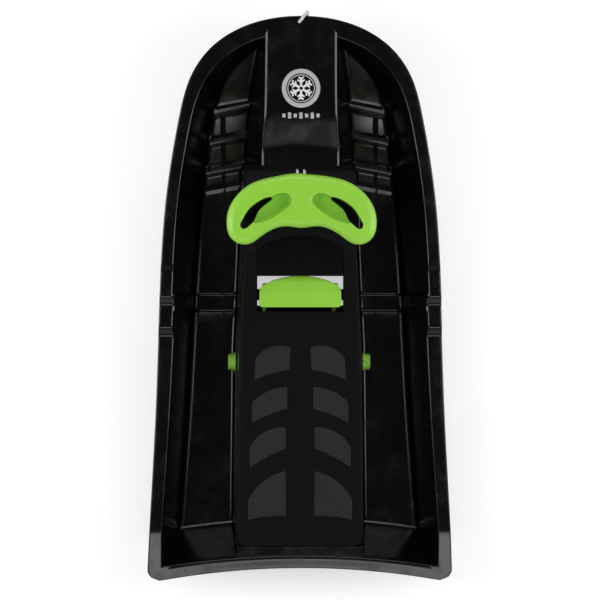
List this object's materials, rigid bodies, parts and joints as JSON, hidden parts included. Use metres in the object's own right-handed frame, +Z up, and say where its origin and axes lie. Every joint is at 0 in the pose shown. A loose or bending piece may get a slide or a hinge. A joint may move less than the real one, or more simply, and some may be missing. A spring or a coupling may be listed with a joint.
{
  "type": "snow bob sled",
  "caption": "Child's moulded plastic snow bob sled with two footwells, a raised middle seat with grip pads, a lift-out grab handle on a tow rope and a pull-up claw brake.",
  "frame": {"origin": "middle of the sled's footprint, on the snow under the keels", "axes": "+Y to the nose, +X to the rider's right, +Z up"},
  "size_m": [0.5702, 1.0604, 0.241],
  "materials": {
    "hull_plastic": "injection moulded polyethylene, glossy black",
    "cover_plastic": "fine matt texture, black",
    "pad_foam": "grained non-slip rubber, dark grey",
    "green_plastic": "moulded, satin, light green",
    "claw_steel": "stamped and zinc plated",
    "screw_steel": "zinc plated",
    "rope_fibre": "braided polypropylene, white",
    "print_film": "printed film, light grey on black"
  },
  "bodies": {
    "sled": {"hull": "hull_plastic", "seat_cover": "cover_plastic", "pad_row_1_left": "pad_foam", "pad_row_1_right": "pad_foam", "pad_row_2_left": "pad_foam", "pad_row_2_right": "pad_foam", "pad_row_3_left": "pad_foam", "pad_row_3_right": "pad_foam", "pad_row_4_left": "pad_foam", "pad_row_4_right": "pad_foam", "tow_rope": "rope_fibre", "brake_pin_left": "green_plastic", "brake_pin_right": "green_plastic", "cover_screws": "screw_steel", "nose_graphic": "print_film"},
    "brake": {"brake_lever": "green_plastic", "brake_claw": "claw_steel", "claw_screws": "screw_steel"},
    "grab_handle": {"handle": "green_plastic", "rope_knots": "rope_fibre"}
  },
  "joints": [
    {"name": "brake_pull", "type": "hinge", "parent": "sled", "child": "brake", "pos_m": [0, -0.116, 0.06], "axis": [1, 0, 0], "range_deg": [0, 28]},
    {"name": "handle_lift", "type": "slide", "parent": "sled", "child": "grab_handle", "axis": [0, 0, 1], "range_m": [0, 0.06]}
  ]
}
